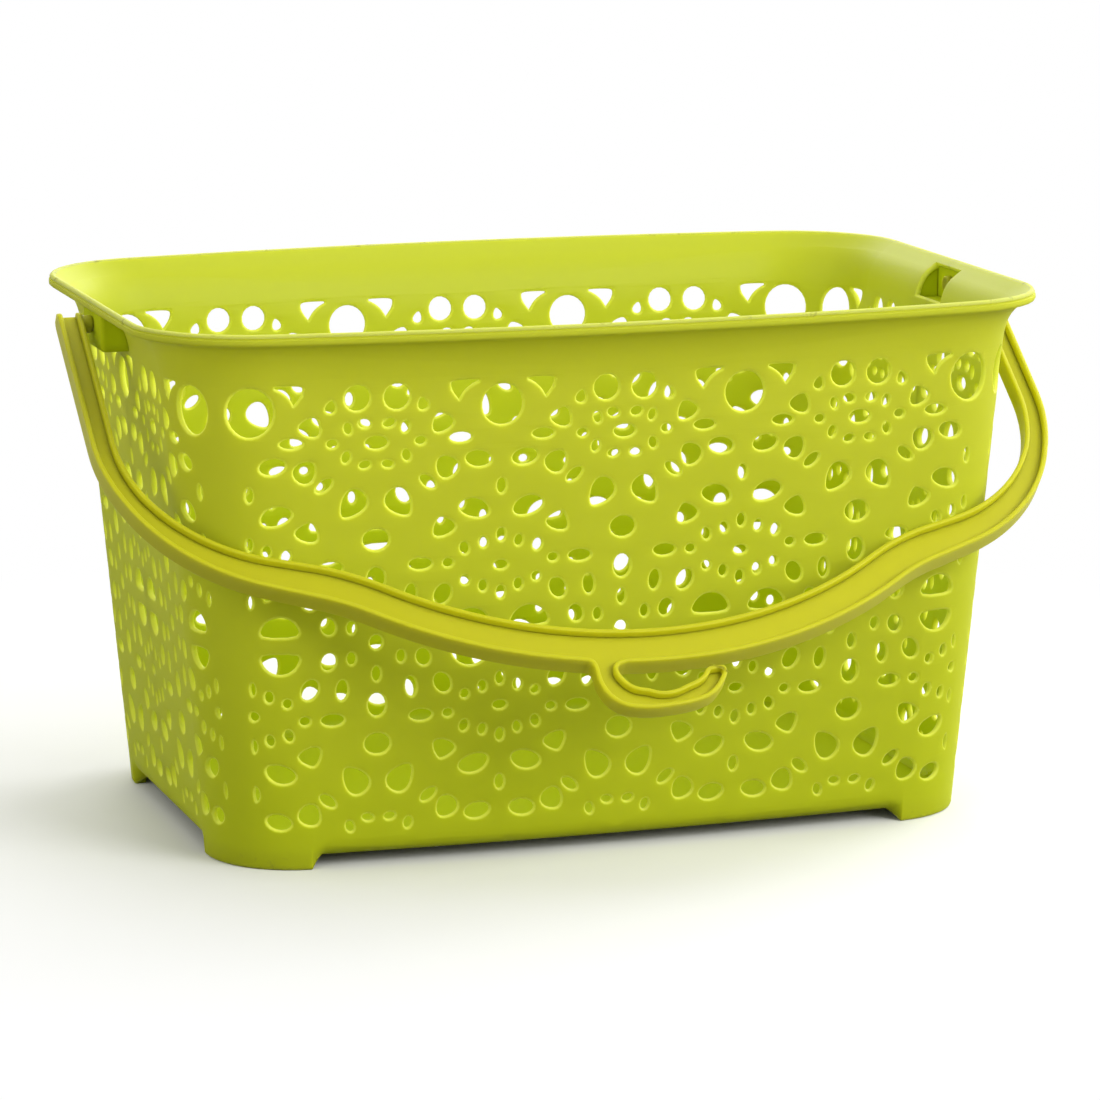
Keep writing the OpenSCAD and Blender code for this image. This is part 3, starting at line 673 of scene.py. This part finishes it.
def trayRow(bm, z, inset):
    h = niche["halfW"] + niche["wall"] - inset
    xOut = niche["out"] - inset
    fold = max(niche["foldR"] - inset * niche["foldShare"], niche["foldLeast"])
    row = [(min(flareMiddle(z + niche["lap"]), xOut - fold - niche["shoulder"]), -h)]
    row += [(xOut - fold + fold * math.sin(t), -h + fold - fold * math.cos(t))
            for t in [math.radians(d) for d in range(0, 91, 18)]]
    row += [(xOut, 0.0)]
    row += [(x, -y) for x, y in reversed(row[:-1])]
    return [bm.verts.new((x, y, z)) for x, y in row]


tray = bmesh.new()
foldLow = nicheFloor - niche["wall"] + niche["foldR"]
rows = [(z, 0) for z in niche["rowZ"] + [foldLow]]
rows += [(foldLow - niche["foldR"] * math.sin(t), niche["foldR"] * (1 - math.cos(t)))
         for t in [math.radians(d) for d in (22, 45, 67, 90)]]
loops = []
for z, inset in rows:
    row = trayRow(tray, z, inset)
    loops.append([tray.edges.new((a, b)) for a, b in zip(row, row[1:])])
for a, b in zip(loops, loops[1:]):
    bmesh.ops.bridge_loops(tray, edges=a + b)
lastRow = [loops[-1][0].verts[0]] + [e.verts[1] for e in loops[-1]]
tray.faces.new(lastRow)
bmesh.ops.recalc_face_normals(tray, faces=tray.faces)
if sum(f.normal.z for f in tray.faces if abs(f.normal.z) > 0.9) > 0:
    bmesh.ops.reverse_faces(tray, faces=tray.faces)
bmesh.ops.solidify(tray, geom=tray.faces[:], thickness=niche["wall"])
bmesh.ops.recalc_face_normals(tray, faces=tray.faces)
mirrored(tray, 0, weld=False)
nicheObj = asPiece(tray, "pinNiches", limeFloor, "basket", "basket")
drill = turnedBar(niche["boreR"], -niche["drillL"] / 2, niche["drillL"] / 2, niche["pivotZ"])
bmesh.ops.transform(drill, matrix=Matrix.Scale(mm, 4), verts=drill.verts)
drillMesh = bpy.data.meshes.new("drill")
drill.to_mesh(drillMesh)
drill.free()
drillObj = bpy.data.objects.new("drill", drillMesh)
bpy.context.scene.collection.objects.link(drillObj)
bore = nicheObj.modifiers.new("bore", "BOOLEAN")
bore.object = drillObj
bore.operation = "DIFFERENCE"
bored = bpy.data.meshes.new_from_object(nicheObj.evaluated_get(bpy.context.evaluated_depsgraph_get()))
nicheObj.modifiers.remove(bore)
nicheObj.data = bored
bpy.data.objects.remove(drillObj)
print("basket pieces made")

# bail handle: a flat bow with borders and a web, drawn in its own plane as across and away from the pivots
bail = {
    "armX": 135.3, "armW": 6.8, "gripW": 11.4, "thick": 5.7, "border": 1.4, "bevel": 0.5,
    "web": 1.5, "webInset": 1.25, "webBevel": 0.1,
    "bendR": 53.4, "bendA": 71.0, "narrow": 0.33, "flat": 12.0, "counterR": 66.6, "counterA": 15.0,
    "reach": 5.8, "rest": 37.5, "end": 3.4, "notch": 1.3,
    "endCut": 0.5, "endSlice": 0.55, "endSlices": 5, "endLeast": 0.05,
    "pinR": 2.0, "headR": 2.4, "headL": 1.6, "collarR": 2.5, "play": 0.3,
    "pinEase": 0.2, "headEase": 0.4, "collarEase": 0.3,
}
armL = (baseW / 2 + bail["reach"]) / math.cos(math.radians(bail["rest"]))
armL -= bail["bendR"] * math.sin(math.radians(bail["bendA"]))
bendL = bail["bendR"] * math.radians(bail["bendA"])


def leftOf(heading):
    return Vector((-math.sin(heading), math.cos(heading)))


def walk(p, heading, legs):  # follows arcs and straights: each leg is radius, turn and steps
    path = []
    for radius, turn, count in legs:
        for k in range(1, count + 1):
            if radius == 0:
                ahead = Vector((math.cos(heading), math.sin(heading)))
                path.append((p + turn * k / count * ahead, heading))
            else:
                side = radius * (1 if turn > 0 else -1)
                h = heading + math.radians(turn) * k / count
                path.append((p + side * leftOf(heading) - side * leftOf(h), h))
        p, heading = path[-1]
    return path


earR = bail["border"] / 2
earY = bail["end"] - earR
start = Vector((bail["armX"], earY))
halfPath = [(start, math.radians(-90))] + walk(start, math.radians(-90), [
    (0, earY + armL, 3), (bail["bendR"], -bail["bendA"], 30),
    (0, bail["flat"], 2), (bail["counterR"], bail["counterA"], 8)])
gripR = halfPath[-1][0].x / math.cos(math.radians(bail["bendA"] - bail["counterA"]))
halfPath += walk(halfPath[-1][0], halfPath[-1][1], [(gripR, -(90 - bail["bendA"] + bail["counterA"]), 24)])
gripY = halfPath[-1][0].y
walked = [-earY]
for (p, h), (q, k) in zip(halfPath, halfPath[1:]):
    walked.append(walked[-1] + (q - p).length)


def halfWidth(far):  # narrow in the arms, widening from inside the bend to the grip
    t = (far - armL - bendL * bail["narrow"]) / (bendL * (1 - bail["narrow"]) + bail["flat"])
    return mix(bail["armW"], bail["gripW"], min(max(t, 0.0), 1.0)) / 2


def beside(side, inset):  # an edge of the bow, outer for side 1, from the right arm to the left
    right = []
    for (p, h), far in zip(halfPath, walked):
        right.append((p + side * (halfWidth(far) - inset) * leftOf(h)).to_tuple())
    return right + [(-x, y) for x, y in reversed(right[:-1])]


# hook, as points in the same plane: its outer edge from the stem to the tip, and its inner edge back
hook = {
    "outer": [(-20.9, -134.7), (-20.2, -135.2), (-19.8, -136.3), (-19.8, -137.9), (-19.9, -139.8),
              (-19.9, -141.7), (-19.6, -143.6), (-19.0, -145.7), (-18.0, -147.7), (-16.6, -149.4),
              (-14.8, -150.7), (-12.6, -151.5), (-9.6, -152.0), (-6.6, -152.2), (-3.4, -152.1),
              (-0.2, -151.8), (3.0, -151.4), (6.3, -150.7), (9.1, -149.7), (11.4, -148.3),
              (13.3, -146.4), (14.9, -144.4), (16.2, -142.4), (16.6, -141.0), (16.5, -140.0),
              (15.9, -139.3), (14.6, -139.1)],
    "inner": [(11.6, -139.4), (10.6, -140.3), (9.6, -141.9), (7.4, -143.6), (4.2, -144.8),
              (1.2, -146.2), (-1.8, -146.8), (-4.4, -146.5), (-6.8, -145.3), (-9.4, -144.8),
              (-11.2, -143.6), (-12.7, -141.3), (-13.4, -139.2), (-13.3, -137.6), (-12.5, -136.5),
              (-11.1, -136.2)],
    "border": 1.3, "webInset": 1.15, "foldKeep": 0.96, "join": 0.4,
    "thin": 1.0, "thinOver": 2.5, "thinTo": 24.0, "edgeTo": 40.0,
}


def insetLine(points, distance):  # shifts an open line to its right, and drops what folds over
    shifted = []
    for i, (x, y) in enumerate(points):
        a = Vector(points[max(i - 1, 0)])
        b = Vector(points[min(i + 1, len(points) - 1)])
        way = (b - a).normalized()
        q = Vector((x + way.y * distance, y - way.x * distance))
        if min((q - Vector(other)).length for other in points) > hook["foldKeep"] * distance:
            shifted.append(q.to_tuple())
    return shifted


def withHook(edge, line):  # runs along an edge from the right arm, round the hook and on to the left arm
    right = [p for p in edge if p[0] > line[0][0] + hook["join"]]
    left = [p for p in edge if p[0] < line[-1][0] - hook["join"]]
    return right + line + left


def ear(inset, side):  # the round top of a border, from its outer to its inner edge
    middle = bail["armX"] + bail["armW"] / 2 - inset - earR
    return [(side * (middle + earR * math.cos(t)), earY + earR * math.sin(t))
            for t in [math.pi * i / 6 for i in range(1, 6)]]


hookLine = rounder(hook["inner"][::-1] + hook["outer"][::-1])  # from the bay, round the tip, to the stem
outline = withHook(beside(1, 0), hookLine)
channel = withHook(beside(1, bail["border"]), insetLine(hookLine, hook["border"]))
innerInset = bail["armW"] - bail["border"]
outerBorder = outline + ear(0, -1) + channel[::-1] + ear(0, 1)[::-1]
innerBorder = beside(-1, bail["border"]) + ear(innerInset, -1)
innerBorder += beside(-1, 0)[::-1] + ear(innerInset, 1)[::-1]
webRing = withHook(beside(1, bail["webInset"]), insetLine(hookLine, hook["webInset"]))
webRing += beside(-1, bail["webInset"])[::-1]
webRing = [(x, min(y, bail["end"] - bail["notch"])) for x, y in webRing]
borderOut = plateMesh("borderOut", [outerBorder], bail["thick"], bail["bevel"], 2, bail["bevel"])
borderIn = plateMesh("borderIn", [innerBorder], bail["thick"], bail["bevel"], 2, bail["bevel"])
web = plateMesh("web", [webRing], bail["web"], bail["webBevel"])
for v in borderOut.verts:  # the hook is thinner than the grip, from its back
    across = min(abs(v.co.x), hook["edgeTo"])
    edgeY = gripY + gripR - math.sqrt((gripR + bail["gripW"] / 2) ** 2 - across ** 2)
    if v.co.z < 0 and abs(v.co.x) < hook["thinTo"]:
        v.co.z += hook["thin"] * smooth((edgeY - v.co.y) / hook["thinOver"])
halfThick = bail["thick"] / 2
for part in (borderOut, borderIn):  # seen from the side, the arms' ends are round
    for k in range(bail["endSlices"]):
        sliceAt(part, (0, bail["end"] - bail["endCut"] - bail["endSlice"] * k, 0), (0, 1, 0))
    for v in part.verts:
        t = max(v.co.y - bail["end"] + halfThick, 0) / halfThick
        v.co.z *= math.sqrt(max(1 - t * t, bail["endLeast"]))


def easedBar(radius, low, high, ease):  # a turned bar with eased ends
    bm = turnedBar(radius, low, high)
    rimEdges = [e for e in bm.edges if abs(e.verts[0].co.x - e.verts[1].co.x) < 1e-4]
    bmesh.ops.bevel(bm, geom=rimEdges, offset=ease, segments=3, profile=0.5, affect="EDGES", material=-1)
    return bm


pinFrom = niche["out"] - niche["wall"] - bail["play"] - bail["headL"]
armFrom = bail["armX"] - bail["armW"] / 2 + bail["border"] / 2
pins = joined([
    easedBar(bail["pinR"], pinFrom + bail["pinEase"], armFrom, bail["pinEase"]),
    easedBar(bail["headR"], pinFrom, pinFrom + bail["headL"], bail["headEase"]),
    easedBar(bail["collarR"], niche["out"] + bail["play"], armFrom, bail["collarEase"]),
])
mirrored(pins, 0, weld=False)
handleBm = joined([borderOut, borderIn, web, pins])
hang = Matrix.Translation((0, 0, niche["pivotZ"])) @ Matrix.Rotation(math.radians(bail["rest"]), 4, "X")
bmesh.ops.transform(handleBm, matrix=hang, verts=handleBm.verts)
print("handle:", len(handleBm.faces), "faces")
asPiece(handleBm, "bailHandle", olivePlastic, "handle", "bail_handle")

# camera at the photograph's place
view = {"from": (-415.3, -1280.1, 334.6), "to": (3.98, 0.0, 70.26), "lens": 156.36, "sensor": 36, "far": 20}
camData = bpy.data.cameras.new("photoCamera")
camData.lens = view["lens"]
camData.sensor_width = view["sensor"]
camData.clip_end = view["far"]
cam = bpy.data.objects.new("photoCamera", camData)
bpy.context.scene.collection.objects.link(cam)
cam.location = Vector(view["from"]) * mm
cam.rotation_mode = "QUATERNION"
cam.rotation_quaternion = (Vector(view["to"]) - Vector(view["from"])).to_track_quat("-Z", "Y")
bpy.context.scene.camera = cam

# studio, in metres: pale floor, white surround, soft lamps as name, place, width and watts
studio = {
    "floor": "#fafaf8", "bounce": "#7a7a78", "surround": 0.53, "near": 0.13, "far": 0.36, "floorHalf": 6.0,
    "aim": (0, 0, 0.07),
    "lamps": [("key", (0.8, -1.2, 0.8), 1.0, 14.1), ("right", (1.3, -0.5, 0.6), 1.2, 4.6),
              ("left", (-1.25, -0.65, 0.4), 1.2, 3.6), ("top", (0.0, 0.1, 1.5), 1.2, 2.4),
              ("back", (0.2, 1.3, 1.0), 1.2, 8.0), ("backRight", (1.2, 0.7, 0.8), 1.2, 13.0)],
}


def seenRay(tree):  # 1 for what the lens sees, straight, in a gloss or through something clear
    rays = addNode(tree, "ShaderNodeLightPath")
    seen = combined(tree, "MAXIMUM", rays.outputs["Is Camera Ray"], rays.outputs["Is Glossy Ray"])
    return combined(tree, "MAXIMUM", seen, rays.outputs["Is Transmission Ray"])


ground = bmesh.new()
bmesh.ops.create_grid(ground, x_segments=1, y_segments=1, size=studio["floorHalf"])
groundMesh = bpy.data.meshes.new("paleFloor")
ground.to_mesh(groundMesh)
ground.free()
groundObj = bpy.data.objects.new("paleFloor", groundMesh)
bpy.context.scene.collection.objects.link(groundObj)
# the lens sees a pale floor with the shadow, fading to white, and the object gets a duller bounce
floorPaint = bpy.data.materials.new("palePaint")
floorPaint.use_nodes = True
floorTree = floorPaint.node_tree
floorTree.nodes.clear()
floorPlace = addNode(floorTree, "ShaderNodeTexCoord").outputs["Object"]
away = addNode(floorTree, "ShaderNodeVectorMath", {"operation": "LENGTH"}, {0: floorPlace}).outputs["Value"]
fade = addNode(floorTree, "ShaderNodeMapRange", {"interpolation_type": "SMOOTHSTEP"}, {"Value": away},
               From_Min=studio["near"], From_Max=studio["far"])
paleCoat = addNode(floorTree, "ShaderNodeBsdfDiffuse", Color=linear(studio["floor"]))
dullCoat = addNode(floorTree, "ShaderNodeBsdfDiffuse", Color=linear(studio["bounce"]))
white = addNode(floorTree, "ShaderNodeEmission", Color=(1, 1, 1, 1), Strength=1.0)
fading = addNode(floorTree, "ShaderNodeMixShader",
                 links={0: fade.outputs[0], 1: paleCoat.outputs[0], 2: white.outputs[0]})
floorCoat = addNode(floorTree, "ShaderNodeMixShader",
                    links={0: seenRay(floorTree), 1: dullCoat.outputs[0], 2: fading.outputs[0]})
addNode(floorTree, "ShaderNodeOutputMaterial", links={0: floorCoat.outputs[0]})
groundMesh.materials.append(floorPaint)
groundObj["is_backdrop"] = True

world = bpy.data.worlds.new("studio")
bpy.context.scene.world = world
world.use_nodes = True
sky = world.node_tree
sky.nodes.clear()
level = ranged(sky, seenRay(sky), To_Min=studio["surround"], To_Max=1.0)
light = addNode(sky, "ShaderNodeBackground", links={"Strength": level}, Color=(1, 1, 1, 1))
addNode(sky, "ShaderNodeOutputWorld", links={0: light.outputs[0]})
for name, place, size, power in studio["lamps"]:
    lamp = bpy.data.lights.new(name, "AREA")
    lamp.shape = "DISK"
    lamp.size = size
    lamp.energy = power
    lampObj = bpy.data.objects.new(name, lamp)
    bpy.context.scene.collection.objects.link(lampObj)
    lampObj.location = place
    lampObj.rotation_mode = "QUATERNION"
    lampObj.rotation_quaternion = (Vector(studio["aim"]) - Vector(place)).to_track_quat("-Z", "Y")
bpy.context.scene.view_settings.view_transform = "Standard"

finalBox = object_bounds()
for box in (cadBox, finalBox):
    print("size in mm", [round((high - low) / mm, 1) for low, high in zip(*box)])
